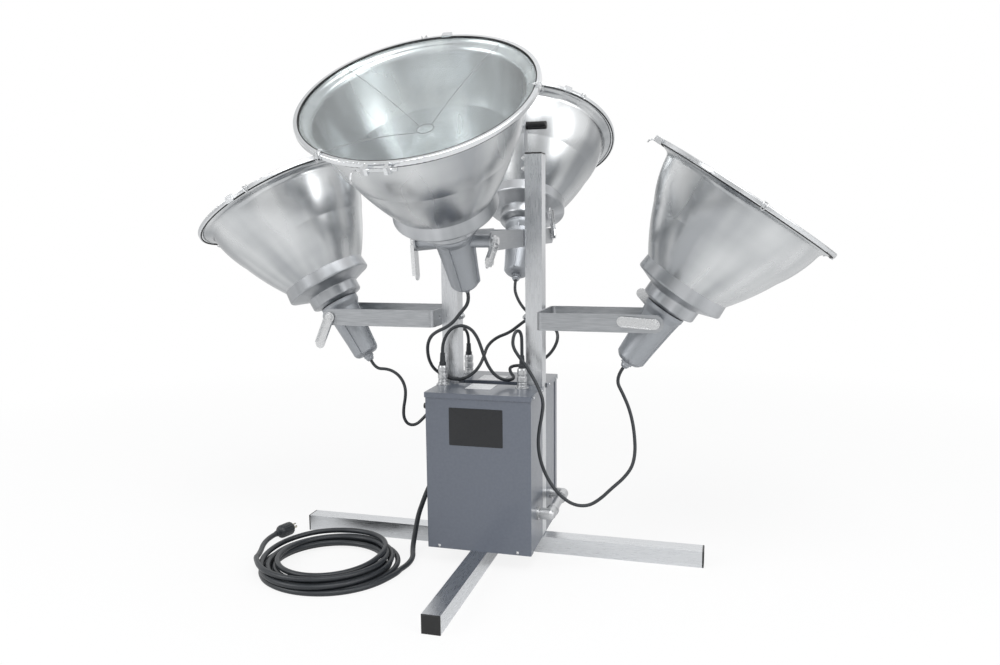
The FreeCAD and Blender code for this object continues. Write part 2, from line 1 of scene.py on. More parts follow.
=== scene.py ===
"""Looks of a portable floodlight: four tilting bell lamps on a stand of square tube.

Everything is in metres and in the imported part's own frame: the origin is on the floor under
the base cross, X runs along the long arm, Y to the back and Z up.
"""

import json
import logging
import math
from collections.abc import Iterable
from dataclasses import dataclass
from enum import Enum
from functools import lru_cache, reduce

import bmesh
import bpy
import numpy as np
from mathutils import Matrix, Vector

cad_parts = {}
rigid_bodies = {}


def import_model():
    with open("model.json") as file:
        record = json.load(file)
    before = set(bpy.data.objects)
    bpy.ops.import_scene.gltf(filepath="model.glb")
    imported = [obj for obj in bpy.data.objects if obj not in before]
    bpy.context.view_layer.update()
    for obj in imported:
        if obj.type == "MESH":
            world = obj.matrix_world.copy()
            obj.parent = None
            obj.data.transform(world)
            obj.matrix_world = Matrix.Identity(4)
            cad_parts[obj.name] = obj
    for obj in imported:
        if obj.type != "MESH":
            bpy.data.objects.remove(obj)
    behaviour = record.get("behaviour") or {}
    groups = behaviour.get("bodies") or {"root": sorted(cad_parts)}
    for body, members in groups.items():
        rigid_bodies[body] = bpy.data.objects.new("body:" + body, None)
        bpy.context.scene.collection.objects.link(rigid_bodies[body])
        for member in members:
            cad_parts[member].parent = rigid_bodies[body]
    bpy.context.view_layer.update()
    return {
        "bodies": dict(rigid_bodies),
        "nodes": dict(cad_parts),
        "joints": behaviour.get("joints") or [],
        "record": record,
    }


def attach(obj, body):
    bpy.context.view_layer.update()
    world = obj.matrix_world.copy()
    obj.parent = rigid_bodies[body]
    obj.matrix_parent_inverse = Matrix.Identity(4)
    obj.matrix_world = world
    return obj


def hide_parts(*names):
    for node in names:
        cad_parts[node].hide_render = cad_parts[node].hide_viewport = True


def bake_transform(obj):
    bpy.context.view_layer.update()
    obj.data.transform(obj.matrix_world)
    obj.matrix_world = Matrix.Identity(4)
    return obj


LOG = logging.getLogger("floodlight")
Socket = bpy.types.NodeSocket
Tree = bpy.types.NodeTree
Point = tuple[float, float, float]
WHITE = (1.0, 1.0, 1.0, 1.0)


class Axis(Enum):
    """The way that the fine lines of a drawn or rolled surface run."""

    X = (0.04, 1.0, 1.0)
    Y = (1.0, 0.04, 1.0)
    Z = (1.0, 1.0, 0.04)
    NONE = (1.0, 1.0, 1.0)


def linear(colour: str) -> tuple[float, float, float, float]:
    """Turns a colour as it is seen into the renderer's linear values.

    Args:
        colour: sRGB as #rrggbb.

    Returns:
        Linear red, green, blue and an alpha of 1.
    """
    seen = [int(colour[i : i + 2], 16) / 255 for i in (1, 3, 5)]
    return tuple(c / 12.92 if c <= 0.04045 else ((c + 0.055) / 1.055) ** 2.4 for c in seen) + (1.0,)


def add(tree: Tree, kind: str, settings: dict | None = None, links: dict | None = None) -> bpy.types.Node:
    """Adds a node with its settings and links.

    Args:
        tree: the node tree.
        kind: the node's type.
        settings: values by property name, input name or input number.
        links: output sockets by input name or number.

    Returns:
        The node.
    """
    made = tree.nodes.new(kind)
    for key, value in (settings or {}).items():
        if isinstance(key, str) and hasattr(made, key):
            setattr(made, key, value)
        else:
            made.inputs[key].default_value = value
    for key, socket in (links or {}).items():
        tree.links.new(socket, made.inputs[key])
    return made


@dataclass(frozen=True)
class Finish:
    """What every finish has: a name, a base colour, and how metallic and rough it is."""

    name: str
    colour: str
    metallic: float = 0.0
    roughness: float = 0.4

    def build(self) -> bpy.types.Material:
        """Makes the material and lets the finish add its own pattern.

        Returns:
            The material.
        """
        made = bpy.data.materials.new(self.name)
        made.use_nodes = True
        shader = made.node_tree.nodes["Principled BSDF"]
        shader.inputs["Base Color"].default_value = linear(self.colour)
        shader.inputs["Metallic"].default_value = self.metallic
        shader.inputs["Roughness"].default_value = self.roughness
        self.pattern(made.node_tree, shader)
        return made

    def pattern(self, tree: Tree, shader: bpy.types.Node) -> None:
        """Adds colour, roughness and relief; a finish with none leaves it as it is."""

    def grain(
        self,
        tree: Tree,
        shader: bpy.types.Node,
        point: Socket,
        size_mm: float,
        depth_mm: float,
        rough: float,
        dark: str,
        detail: float = 3.0,
        edge_mm: float = 0.0,
    ) -> Socket:
        """One noise that moves colour, roughness and relief together.

        Args:
            tree: the material's tree.
            shader: its surface shader.
            point: where the noise is read.
            size_mm: width of one grain on the real surface.
            depth_mm: height of the relief.
            rough: how far the roughness goes to each side of its own value.
            dark: the colour of the darkest grain.
            detail: octaves of the noise.
            edge_mm: radius that an edge seems to be broken to.

        Returns:
            The noise's value.
        """
        fine = {"Scale": 1000 / size_mm, "Detail": detail}
        noise = add(tree, "ShaderNodeTexNoise", fine, {"Vector": point})
        value = noise.outputs[0]
        span = {"To Min": max(0.02, self.roughness - rough), "To Max": self.roughness + rough}
        wear = add(tree, "ShaderNodeMapRange", {"From Min": 0.3, "From Max": 0.7, **span}, {"Value": value})
        tree.links.new(wear.outputs[0], shader.inputs["Roughness"])
        tint = add(tree, "ShaderNodeMapRange", {"From Min": 0.3, "From Max": 0.7}, {"Value": value})
        colours = {"data_type": "RGBA", 6: linear(dark), 7: linear(self.colour)}
        blend = add(tree, "ShaderNodeMix", colours, {0: tint.outputs[0]})
        tree.links.new(blend.outputs[2], shader.inputs["Base Color"])
        depth = {"Strength": 1.0, "Distance": depth_mm / 1000}
        relief = add(tree, "ShaderNodeBump", depth, {"Height": value})
        if edge_mm:
            broken = add(tree, "ShaderNodeBevel", {"samples": 3, "Radius": edge_mm / 1000})
            tree.links.new(broken.outputs[0], relief.inputs["Normal"])
        tree.links.new(relief.outputs[0], shader.inputs["Normal"])
        return value

    def place(self, tree: Tree, stretch: Point = (1.0, 1.0, 1.0)) -> Socket:
        """Object coordinates, stretched.

        Args:
            tree: the material's tree.
            stretch: scale along X, Y and Z.

        Returns:
            The point's socket.
        """
        spot = add(tree, "ShaderNodeTexCoord").outputs["Object"]
        return add(tree, "ShaderNodeMapping", {"Scale": stretch}, {"Vector": spot}).outputs[0]


@dataclass(frozen=True)
class MillAluminium(Finish):
    """Mill-finish aluminium, extruded or rolled: a soft grey mirror with die lines along its length."""

    along: Axis = Axis.X
    dark: str = "#cdcfd2"

    def pattern(self, tree: Tree, shader: bpy.types.Node) -> None:
        """Real die lines are finer: drawn 1.8 mm apart, they show as a faint streak."""
        point = self.place(tree, self.along.value)
        self.grain(tree, shader, point, 1.8, 0.01, 0.06, self.dark, 4.0, 0.8)


@dataclass(frozen=True)
class SpunAluminium(Finish):
    """Aluminium spun over a former and polished: a soft mirror with wide bands, and painted reflection
    streaks that darken its colour.
    """

    centre: Point = (0.0, 0.0, 0.0)
    turned: Point = (0.0, 0.0, 0.0)
    band_mm: float = 55.0
    # Colour of the painted reflection streaks.
    painted_streaks: str = "#b4b6b8"

    def pattern(self, tree: Tree, shader: bpy.types.Node) -> None:
        """Bands by height on the axis, and painted reflection streaks by the angle round it."""
        spot = add(tree, "ShaderNodeTexCoord")
        where = {"vector_type": "TEXTURE", "Location": self.centre, "Rotation": self.turned}
        own = add(tree, "ShaderNodeMapping", where, {"Vector": spot.outputs["Object"]})
        axes = add(tree, "ShaderNodeSeparateXYZ", None, {0: own.outputs[0]})
        height = axes.outputs[2]
        wide = {"noise_dimensions": "1D", "Scale": 1000 / self.band_mm, "Detail": 1.0}
        bands = add(tree, "ShaderNodeTexNoise", wide)
        tree.links.new(height, bands.inputs["W"])
        flat = add(tree, "ShaderNodeCombineXYZ", None, {0: axes.outputs[0], 1: axes.outputs[1]})
        unit = add(tree, "ShaderNodeVectorMath", {"operation": "NORMALIZE"}, {0: flat.outputs[0]})
        lift = add(tree, "ShaderNodeMath", {"operation": "MULTIPLY", 1: 1.2}, {0: height})
        spread = add(tree, "ShaderNodeSeparateXYZ", None, {0: unit.outputs[0]})
        angle = {0: spread.outputs[0], 1: spread.outputs[1], 2: lift.outputs[0]}
        round_it = add(tree, "ShaderNodeCombineXYZ", None, angle)
        streak_noise = add(tree, "ShaderNodeTexNoise", {"Scale": 1.9, "Detail": 2.0, "Roughness": 0.5})
        tree.links.new(round_it.outputs[0], streak_noise.inputs["Vector"])
        both = add(tree, "ShaderNodeMath", {"operation": "MULTIPLY_ADD", 1: 0.12})
        tree.links.new(bands.outputs[0], both.inputs[0])
        tree.links.new(streak_noise.outputs[0], both.inputs[2])
        span = {"From Min": 0.4, "From Max": 0.72}
        tint = add(tree, "ShaderNodeMapRange", span, {"Value": both.outputs[0]})
        # Painted reflection: the colour falls towards the streak colour where the angle noise is low, with
        # the spun bands by height mixed in as tone.
        colours = {"data_type": "RGBA", 6: linear(self.painted_streaks), 7: linear(self.colour)}
        blend = add(tree, "ShaderNodeMix", colours, {0: tint.outputs[0]})
        tree.links.new(blend.outputs[2], shader.inputs["Base Color"])
        low, high = self.roughness - 0.05, self.roughness + 0.05
        span = {"From Min": 0.3, "From Max": 0.7, "To Min": low, "To Max": high}
        wear = add(tree, "ShaderNodeMapRange", span, {"Value": streak_noise.outputs[0]})
        tree.links.new(wear.outputs[0], shader.inputs["Roughness"])


@dataclass(frozen=True)
class CastMetal(Finish):
    """Sand or die cast metal, left as cast or zinc plated: a fine matt grain."""

    grain_mm: float = 1.1
    dark: str = "#7f8286"

    def pattern(self, tree: Tree, shader: bpy.types.Node) -> None:
        """Grains as wide as the mould's sand, with slightly polished high spots."""
        self.grain(tree, shader, self.place(tree), self.grain_mm, 0.05, 0.08, self.dark, 5.0, 1.0)


@dataclass(frozen=True)
class Enamel(Finish):
    """Baked enamel on steel sheet: deep colour under a glossy skin with orange peel."""

    dark: str = "#5c626d"

    def pattern(self, tree: Tree, shader: bpy.types.Node) -> None:
        """Real orange peel is finer: drawn 8 mm wide, it softens a reflection and hardly shows otherwise."""
        shader.inputs["Coat Weight"].default_value = 0.35
        shader.inputs["Coat Roughness"].default_value = 0.08
        self.grain(tree, shader, self.place(tree), 8.0, 0.006, 0.02, self.dark, 0.0, 1.2)


@dataclass(frozen=True)
class Moulded(Finish):
    """Rubber, plastic, vinyl, varnish or glaze: no metal, with the fine surface of its mould or coat."""

    grain_mm: float = 0.8
    depth_mm: float = 0.03
    dark: str = "#060607"

    def pattern(self, tree: Tree, shader: bpy.types.Node) -> None:
        """One shallow grain, a little darker in its hollows."""
        self.grain(tree, shader, self.place(tree), self.grain_mm, self.depth_mm, 0.07, self.dark, 4.0, 0.6)


@dataclass(frozen=True)
class Glass(Finish):
    """Clear glass that lets lamp light through to what is inside it."""

    tint: str = "#f4f8f8"

    def pattern(self, tree: Tree, shader: bpy.types.Node) -> None:
        """Refracts what is seen through it, and is simply clear to shadow and bounce rays."""
        shader.inputs["Transmission Weight"].default_value = 1.0
        path = add(tree, "ShaderNodeLightPath")
        either = add(tree, "ShaderNodeMath", {"operation": "MAXIMUM"}, {0: path.outputs["Is Shadow Ray"]})
        tree.links.new(path.outputs["Is Diffuse Ray"], either.inputs[1])
        clear = add(tree, "ShaderNodeBsdfTransparent", {0: linear(self.tint)})
        links = {0: either.outputs[0], 1: shader.outputs[0], 2: clear.outputs[0]}
        mixed = add(tree, "ShaderNodeMixShader", None, links)
        tree.links.new(mixed.outputs[0], tree.nodes["Material Output"].inputs["Surface"])


@dataclass(frozen=True)
class ThinGlass(Finish):
    """A blown bulb wall, about 1 mm thick: it hardly bends what is behind it, and its pale veil over what is
    behind is a painted sheen for the glass's reflections.
    """

    painted_veil: float = 0.28

    def pattern(self, tree: Tree, shader: bpy.types.Node) -> None:
        """Covers a small share of what is behind it with pale colour, a painted sheen."""
        # The pale share is painted sheen: it stands in for the highlights on the clear glass.
        shader.inputs["Alpha"].default_value = self.painted_veil
        shader.inputs["Coat Weight"].default_value = 1.0


TUBE = {
    axis: MillAluminium(f"mill_aluminium_{axis.name.lower()}", "#d9dbdd", 1.0, 0.3, axis)
    for axis in Axis
}
BAR = {
    axis: MillAluminium(f"flat_bar_{axis.name.lower()}", "#b4b6b9", 1.0, 0.36, axis, "#9ea1a4")
    for axis in Axis
}
CASTING = CastMetal("cast_aluminium", "#b0b3b7", 1.0, 0.5, 1.1, "#979ba0")
ZINC = CastMetal("zinc_plate", "#d0d1d2", 1.0, 0.34, 2.0, "#b0b2b4")
RING = MillAluminium("rolled_clamp_ring", "#e4e6e8", 1.0, 0.2, Axis.NONE, "#cfd1d3")
BRIGHT = CastMetal("bright_fasteners", "#d8d9da", 1.0, 0.26, 3.0, "#b4b6b8")
LEVER = CastMetal("polished_lever", "#e4e5e6", 1.0, 0.24, 3.0, "#cfd0d1")
NICKEL = CastMetal("nickel_shell", "#c9c4b8", 1.0, 0.22, 3.0, "#a8a396")
ENAMEL = Enamel("slate_enamel", "#5f6570", 0.0, 0.3)
CORE = Moulded("varnished_core", "#2a2522", 0.0, 0.5)
CAP = Moulded("moulded_cap", "#17181a", 0.0, 0.42)
GRIP = Moulded("glossy_grip", "#0c0d0e", 0.0, 0.14, 3.0, 0.01)
RUBBER = Moulded("cord_rubber", "#2b3035", 0.0, 0.4, 1.2, 0.02, "#1b1e22")
DULL = CastMetal("dull_wire", "#8f9092", 1.0, 0.5, 2.0, "#6f7073")
GASKET = Moulded("gasket_rubber", "#141415", 0.0, 0.6)
CLEAR = Glass("tempered_glass", "#f2f6f6", 0.0, 0.0)
# The bulb's pale colour is its painted sheen.
QUARTZ = ThinGlass("blown_bulb_glass", "#eef1f2", 0.0, 0.04)
PORCELAIN = Moulded("glazed_porcelain", "#e9e6de", 0.0, 0.2, 4.0, 0.01, "#d8d4ca")
PLATE = Moulded("bare_plate_vinyl", "#e6e7e8", 0.0, 0.32, 6.0, 0.004, "#dcdddf")
LABEL = Moulded("dark_plate_vinyl", "#15171b", 0.0, 0.34, 6.0, 0.004, "#111317")


@lru_cache(maxsize=None)
def material(finish: Finish) -> bpy.types.Material:
    """The one material of a finish."""
    return finish.build()


@dataclass
class Shape:
    """Points and four-cornered faces, worked out before they become a mesh."""

    points: np.ndarray
    faces: np.ndarray

    def __add__(self, other: "Shape") -> "Shape":
        """Both shapes as one."""
        return Shape(
            np.vstack([self.points, other.points]), np.vstack([self.faces, other.faces + len(self.points)])
        )

    def at(self, where: Matrix) -> "Shape":
        """The shape, placed by a matrix: each point times its turn, plus its shift."""
        turn = np.array(where.to_3x3())
        return Shape(self.points @ turn.T + np.array(where.to_translation()), self.faces)

    def piece(self, name: str, finish: Finish, body: str, slot: str, sharp: float = 38.0) -> bpy.types.Object:
        """Makes the shape an object that rides on a body.

        Args:
            name: the piece's name.
            finish: what it is made of.
            body: the body it rides on.
            slot: not used.
            sharp: edges that turn by more than this many degrees stay sharp.

        Returns:
            The object.
        """
        mesh = bpy.data.meshes.new(name)
        mesh.from_pydata(self.points.tolist(), [], self.faces.tolist())
        work = bmesh.new()
        work.from_mesh(mesh)
        bmesh.ops.remove_doubles(work, verts=work.verts, dist=2e-6)
        bmesh.ops.recalc_face_normals(work, faces=work.faces)
        work.to_mesh(mesh)
        work.free()
        mesh.polygons.foreach_set("use_smooth", np.ones(len(mesh.polygons), dtype=bool))
        mesh.set_sharp_from_angle(angle=math.radians(sharp))
        mesh.materials.append(material(finish))
        made = bpy.data.objects.new(name, mesh)
        bpy.context.scene.collection.objects.link(made)
        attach(made, body)
        return made


def joined(shapes: Iterable[Shape]) -> Shape:
    """All the shapes as one, in their order."""
    return reduce(Shape.__add__, shapes)


def grid(points: np.ndarray, around: bool = True, closed: bool = False) -> Shape:
    """Faces between the rows and columns of a grid of points.

    Args:
        points: rows by columns by 3.
        around: the last column joins the first.
        closed: the last row joins the first.

    Returns:
        The shape.
    """
    rows, columns, _ = points.shape
    index = np.arange(rows * columns).reshape(rows, columns)
    if around:
        index = np.hstack([index, index[:, :1]])
    if closed:
        index = np.vstack([index, index[:1]])
    corners = [index[:-1, :-1], index[:-1, 1:], index[1:, 1:], index[1:, :-1]]
    return Shape(points.reshape(-1, 3), np.stack(corners, axis=-1).reshape(-1, 4))


def lathe(profile: list[tuple[float, float]], steps: int = 48, closed: bool = False) -> Shape:
    """A turned form: each profile point, radius r and height z, becomes the ring (r cos a, r sin a, z).

    Args:
        profile: radius and height in metres, from one pole to the other, or a loop.
        steps: columns round the axis.
        closed: the profile is a loop clear of the axis.

    Returns:
        The shape about Z.
    """
    line = np.array(profile)
    a = np.linspace(0, 2 * np.pi, steps, endpoint=False)
    x = line[:, :1] * np.cos(a)
    y = line[:, :1] * np.sin(a)
    z = np.repeat(line[:, 1:], steps, axis=1)
    return grid(np.stack([x, y, z], axis=-1), True, closed)


def stack(outline: np.ndarray, rows: list[tuple[float, float]]) -> Shape:
    """A flat form built up in layers: each layer is the outline times a scale s, at height z.

    Args:
        outline: points round the middle, by 2.
        rows: scale and height of each layer; the first and last are 0 to close the form.

    Returns:
        The shape about Z.
    """
    layers = np.array(rows)
    flat = layers[:, :1, None] * outline[None]
    high = np.repeat(layers[:, 1:2, None], len(outline), axis=1)
    return grid(np.concatenate([flat, high], axis=-1))


def corners(sides: int, across: float, start: float = 0.0) -> np.ndarray:
    """Corners of a regular outline: radius r at the angles k times 360 over the number of sides.

    Args:
        sides: number of sides.
        across: distance between two opposite sides.
        start: angle of the first corner, in radians.

    Returns:
        The corners, by 2.
    """
    a = start + np.linspace(0, 2 * np.pi, sides, endpoint=False)
    r = across / 2 / math.cos(math.pi / sides)
    return np.stack([r * np.cos(a), r * np.sin(a)], axis=-1)


def rounded(width: float, height: float, radius: float, steps: int = 6) -> np.ndarray:
    """Outline of a rounded rectangle: each corner's centre plus its radius times (cos a, sin a).

    Args:
        width: size along X.
        height: size along Y.
        radius: radius of the corners.
        steps: points round each corner.

    Returns:
        The outline, by 2.
    """
    a = np.linspace(0, np.pi / 2, steps)[None] + np.arange(4)[:, None] * np.pi / 2
    sx = np.array([1, -1, -1, 1])[:, None] * (width / 2 - radius)
    sy = np.array([1, 1, -1, -1])[:, None] * (height / 2 - radius)
    return np.stack([sx + radius * np.cos(a), sy + radius * np.sin(a)], axis=-1).reshape(-1, 2)


def pipe(path: np.ndarray, radius: np.ndarray | float, sides: int = 10) -> Shape:
    """A round bar along a path: centre plus radius times (n cos a + b sin a), n and b square to the path.

    Args:
        path: points by 3.
        radius: one value, or one for each point.
        sides: columns round the bar.

    Returns:
        The shape, closed at both ends.
    """
    line = np.asarray(path, float)
    ahead = np.gradient(line, axis=0)
    ahead /= np.linalg.norm(ahead, axis=1, keepdims=True)
    least = np.argmin(np.abs(ahead).max(axis=0))
    side = np.cross(ahead, np.eye(3)[least])
    side /= np.linalg.norm(side, axis=1, keepdims=True)
    up = np.cross(ahead, side)
    a = np.linspace(0, 2 * np.pi, sides, endpoint=False)[None, :, None]
    r = np.broadcast_to(np.asarray(radius, float), (len(line),))[:, None, None]
    rings = line[:, None] + r * (side[:, None] * np.cos(a) + up[:, None] * np.sin(a))
    ends = [np.repeat(line[k][None, None], sides, axis=1) for k in (0, -1)]
    return grid(np.concatenate([ends[0], rings, ends[1]]))


def facing(at: Point, out: Point) -> Matrix:
    """A place whose Z looks outwards.

    Args:
        at: the point.
        out: the direction that Z takes.

    Returns:
        The matrix.
    """
    return Matrix.Translation(at) @ Vector(out).to_track_quat("Z", "Y").to_matrix().to_4x4()


def bolt_head(flats: float, height: float, washer: float = 0.0) -> Shape:
    """A chamfered hexagon with a domed top on its washer; the seat is at z = 0.

    Args:
        flats: size across the flats.
        height: height of the head.
        washer: diameter of the washer, 0 for none.

    Returns:
        The shape about Z.
    """
    base = 0.0018 if washer else 0.0
    rows = [(0.0, base), (1.0, base), (1.0, base + height * 0.8), (0.86, base + height), (0.0, base + height)]
    shape = stack(corners(6, flats), rows)
    stud = lathe([(0, base + height - 0.001), (flats * 0.27, base + height - 0.001),
                  (flats * 0.27, base + height + 0.0035), (flats * 0.21, base + height + 0.0045),
                  (0, base + height + 0.0045)], 20)
    shape = shape + stud
    if washer:
        r = washer / 2
        shape = shape + lathe([(0, 0), (r, 0), (r, 0.0013), (r - 0.0006, 0.0018), (0, 0.0018)], 28)
    return shape


def screw_head(diameter: float) -> Shape:
    """A pan head on its own flat washer face: the radius falls as a quarter ellipse towards the top.

    Args:
        diameter: diameter of the washer face.

    Returns:
        The shape about Z.
    """
    r = diameter / 2
    a = np.linspace(0, np.pi / 2, 7)
    dome = [(r * 0.72 * math.cos(t), 0.0012 + r * 0.5 * math.sin(t)) for t in a]
    return lathe([(0, 0), (r, 0), (r, 0.0009), (r * 0.9, 0.0012), *dome], 24)


def weld_bead(start: Point, end: Point, width: float = 0.005) -> Shape:
    """A bead along a joint: radius w/2 times 1 + 0.13 cos(2 pi s / 3.4 mm), for the ripples of the torch.

    Args:
        start: one end of the joint.
        end: the other end.
        width: width of the bead.

    Returns:
        The shape.
    """
    a, b = np.array(start), np.array(end)
    long = float(np.linalg.norm(b - a))
    t = np.linspace(0, 1, max(12, int(long / 0.0009)))[:, None]
    ripple = 1 + 0.13 * np.cos(2 * np.pi * t[:, 0] * long / 0.0034)
    taper = np.minimum(1, np.sqrt(np.minimum(t[:, 0], 1 - t[:, 0]) * long / 0.003) + 0.25)
    return pipe(a + (b - a) * t, width / 2 * ripple * taper, 8)


def dress(nodes: dict, name: str, finish: Finish) -> None:
    """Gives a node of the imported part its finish.

    Args:
        nodes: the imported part's objects by name.
        name: the node.
        finish: what it is made of.
    """
    mesh = nodes[name].data
    mesh.materials.clear()
    mesh.materials.append(material(finish))
    LOG.info("dressed %s as %s", name, finish.name)


@dataclass
class TubeStand:
    """Base cross, uprights, crossbar and carry handle of 2 inch square tube."""

    nodes: dict
    half: float = 0.0254
    upright_x: float = 0.1318
    crossbar_z: float = 0.965
    side_pivot_z: float = 0.727

    def build(self) -> None:
        """Dresses the tubes and adds what joins them."""
        for name, axis in (
            ("base_crossbar", Axis.X), ("base_leg_front", Axis.Y), ("base_leg_rear", Axis.Y),
            ("upright_left", Axis.Z), ("upright_right", Axis.Z), ("frame_crossbar", Axis.X),
        ):
            dress(self.nodes, name, TUBE[axis])
        dress(self.nodes, "tube_end_caps", CAP)
        dress(self.nodes, "handle_frame", BAR[Axis.Z])
        dress(self.nodes, "handle_grips", GRIP)
        self.welds()
        self.bolts()

    def welds(self) -> bpy.types.Object:
        """Beads at the crossbar's ends, at the feet of the uprights and where the legs meet the arm."""
        h, inner = self.half, self.upright_x - self.half
        beads = []
        for side in (-1, 1):
            x = side * inner
            for s in (-1, 1):
                beads.append(weld_bead((x, s * h, self.crossbar_z - h), (x, s * h, self.crossbar_z + h)))
                beads.append(weld_bead((x, -h, self.crossbar_z + s * h), (x, h, self.crossbar_z + s * h)))
                beads.append(weld_bead((x, s * h, 0.0012), (x, s * h, 0.05), 0.0041))
                foot = side * (self.upright_x + s * h)
                beads.append(weld_bead((foot, -h + 0.002, 0.0508), (foot, h - 0.002, 0.0508)))
            beads.append(weld_bead((-h, side * h, 0.0508), (h, side * h, 0.0508), 0.004))
        return joined(beads).piece("frame_weld_beads", CASTING, "stand", "frame_tube", 60)

    def bolts(self) -> bpy.types.Object:
        """Through bolts of the four yokes and the screws of the handle's brackets."""
        x_out = self.upright_x + self.half + 0.005
        y_out = self.half + 0.005
        heads = []
        for side in (-1, 1):
            heads += [
                bolt_head(0.019, 0.011, 0.028).at(facing((side * x_out, 0, self.side_pivot_z), (side, 0, 0))),
                bolt_head(0.019, 0.008, 0.026).at(
                    facing((side * (self.upright_x - self.half), 0, self.side_pivot_z), (-side, 0, 0))
                ),
                bolt_head(0.019, 0.011, 0.028).at(facing((0, side * y_out, self.crossbar_z), (0, side, 0))),
            ]
            for z in (1.168, 1.198):
                at = (side * (self.upright_x - self.half - 0.004), 0, z)
                heads.append(bolt_head(0.013, 0.006, 0.018).at(facing(at, (-side, 0, 0))))
        return joined(heads).piece("frame_bolts", BRIGHT, "stand", "handle_bar")


@dataclass
class BallastBoxes:
    """The two enclosures with their plates, screws, connectors and the conduit between them."""

    nodes: dict
    face_y: float = 0.1846
    half_x: float = 0.1588
    top_z: float = 0.522

    def build(self) -> None:
        """Dresses the sheet metal and adds plates, screws and rings."""
        for name in ("ballast_housings", "ballast_covers", "ballast_lids"):
            dress(self.nodes, name, ENAMEL)
        dress(self.nodes, "ballast_cores", CORE)
        dress(self.nodes, "lead_receptacles", ZINC)
        dress(self.nodes, "lead_boots", RUBBER)
        dress(self.nodes, "conduit_link", ZINC)
        self.plates()
        self.screws()
        self.locknuts()
        self.plug()

    def plates(self) -> None:
        """Bare plates with rounded corners: a raised rim, then a flat middle, 0.6 mm thick."""
        rows = [(0.0, 0.0), (1.0, 0.0), (1.0, 0.0004), (0.992, 0.0006), (0.0, 0.0006)]
        front = stack(rounded(0.162, 0.112, 0.003), rows)
        front = front.at(facing((-0.005, -self.face_y, 0.424), (0, -1, 0)))
        front.piece("front_bare_plate", LABEL, "stand", "box_paint", 20)
        small = stack(rounded(0.080, 0.078, 0.002), rows)
        for name, x, y in (("front", -0.021, -0.070), ("rear", -0.025, 0.075)):
            plate = small.at(Matrix.Translation((x, y, self.top_z)))
            plate.piece(f"{name}_lid_bare_plate", PLATE, "stand", "box_paint", 20)

    def screws(self) -> bpy.types.Object:
        """Cover screws low on each face, and lid screws through the lip on both sides."""
        head = screw_head(0.009)
        heads = []
        for s in (-1, 1):
            for x in (-0.122, 0.118):
                heads.append(head.at(facing((x, s * self.face_y, 0.0585), (0, s, 0))))
            for side in (-1, 1):
                for y in (0.055, 0.155):
                    at = (side * (self.half_x + 0.0025), s * y, self.top_z - 0.0085)
                    heads.append(head.at(facing(at, (side, 0, 0))))
        return joined(heads).piece("enclosure_screws", BRIGHT, "stand", "conduit")

    def plug(self) -> bpy.types.Object:
        """A black hole plug high on the front enclosure's left side."""
        rows = [(0, 0), (0.0115, 0), (0.0115, 0.002), (0.0095, 0.0035), (0.0085, 0.0075), (0.0065, 0.009),
                (0, 0.009)]
        shape = lathe(rows, 32).at(facing((-self.half_x, -0.168, 0.478), (-1, 0, 0)))
        return shape.piece("side_hole_plug", CAP, "stand", "box_paint", 30)

    def locknuts(self) -> bpy.types.Object:
        """Toothed lock rings at the lead connectors: radius 1 + 0.05 times the sign of cos(12 a)."""
        a = np.linspace(0, 2 * np.pi, 96, endpoint=False)
        toothed = 0.0195 * (1 + 0.05 * np.sign(np.cos(12 * a)))
        outline = np.stack([toothed * np.cos(a), toothed * np.sin(a)], axis=-1)
        ring = stack(outline, [(0.0, 0.0), (1.0, 0.0), (1.0, 0.0022), (0.94, 0.003), (0.0, 0.003)])
        spots = ((-0.145, -0.062), (-0.128, 0.148), (0.104, -0.062), (0.092, 0.130))
        shape = joined(ring.at(Matrix.Translation((x, y, self.top_z))) for x, y in spots)
        return shape.piece("connector_lock_rings", ZINC, "stand", "receptacle", 30)


